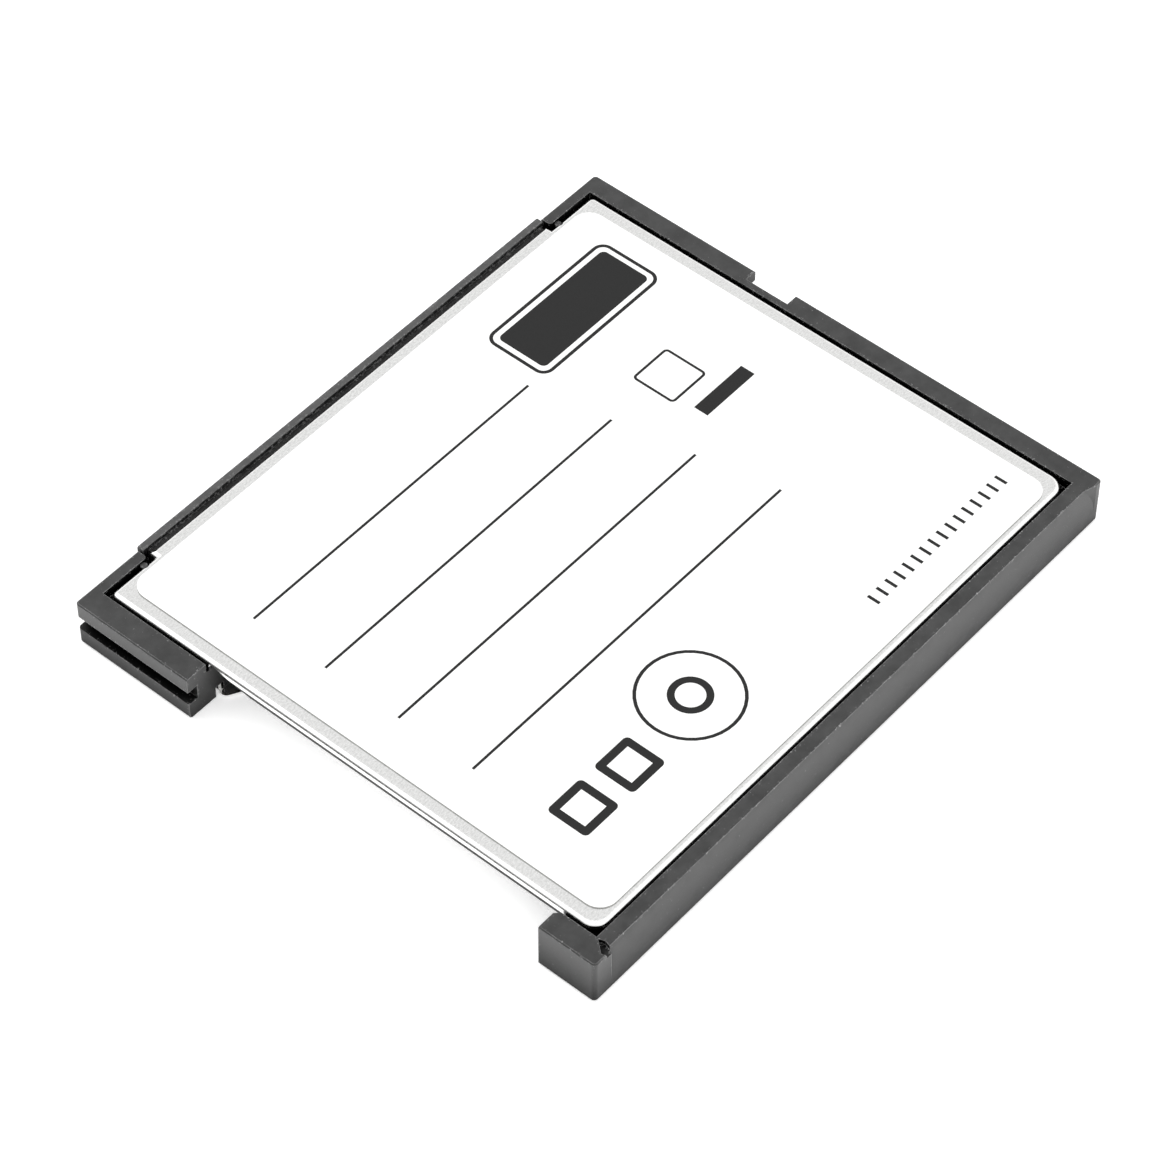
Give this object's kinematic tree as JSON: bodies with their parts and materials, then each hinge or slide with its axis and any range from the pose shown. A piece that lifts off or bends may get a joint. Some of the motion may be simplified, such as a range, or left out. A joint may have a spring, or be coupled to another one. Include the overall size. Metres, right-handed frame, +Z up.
{
  "type": "memory card adapter",
  "caption": "Slim adapter card that takes a smaller flat memory card in a slot at its side and presents a pin socket along its front edge.",
  "frame": {"origin": "centre of the underside's bounding box, on the surface that the card lies on", "axes": "+Z up through the label side, +Y towards the pin socket, -X towards the slot for the small card"},
  "size_m": [0.0428, 0.0366, 0.0033],
  "materials": {
    "frame_plastic": "black moulded plastic, fine matt",
    "cover_steel": "pressed stainless sheet, satin",
    "label_film": "coated white label, satin",
    "board_laminate": "glass fibre laminate with green solder mask",
    "socket_plastic": "glass filled moulded plastic",
    "contact_metal": "gold plated phosphor bronze",
    "carrier_plastic": "black moulded plastic",
    "chip_mould": "moulded epoxy package",
    "crystal_ceramic": "ceramic package with metal lid",
    "capacitor_ceramic": "fired ceramic with tinned ends",
    "resistor_ceramic": "glazed ceramic with tinned ends",
    "film_plastic": "amber polyimide film"
  },
  "bodies": {
    "root": {"blank_label": "label_film", "bulk_capacitors": "capacitor_ceramic", "bypass_capacitors": "capacitor_ceramic", "card_contact_1": "contact_metal", "card_contact_2": "contact_metal", "card_contact_3": "contact_metal", "card_contact_4": "contact_metal", "card_contact_5": "contact_metal", "card_contact_6": "contact_metal", "card_contact_7": "contact_metal", "card_contact_8": "contact_metal", "card_contact_9": "contact_metal", "card_detect_contact": "contact_metal", "card_detect_spring": "contact_metal", "chip_resistors": "resistor_ceramic", "circuit_board": "board_laminate", "clock_crystal": "crystal_ceramic", "contact_carrier": "carrier_plastic", "controller_chip": "chip_mould", "frame": "frame_plastic", "label_side_cover": "cover_steel", "lower_insulating_film": "film_plastic", "socket_contacts_lower": "contact_metal", "socket_contacts_upper": "contact_metal", "socket_housing": "socket_plastic", "underside_cover": "cover_steel", "upper_insulating_film": "film_plastic", "voltage_regulator": "chip_mould", "write_protect_contact": "contact_metal", "write_protect_spring": "contact_metal"}
  },
  "joints": []
}
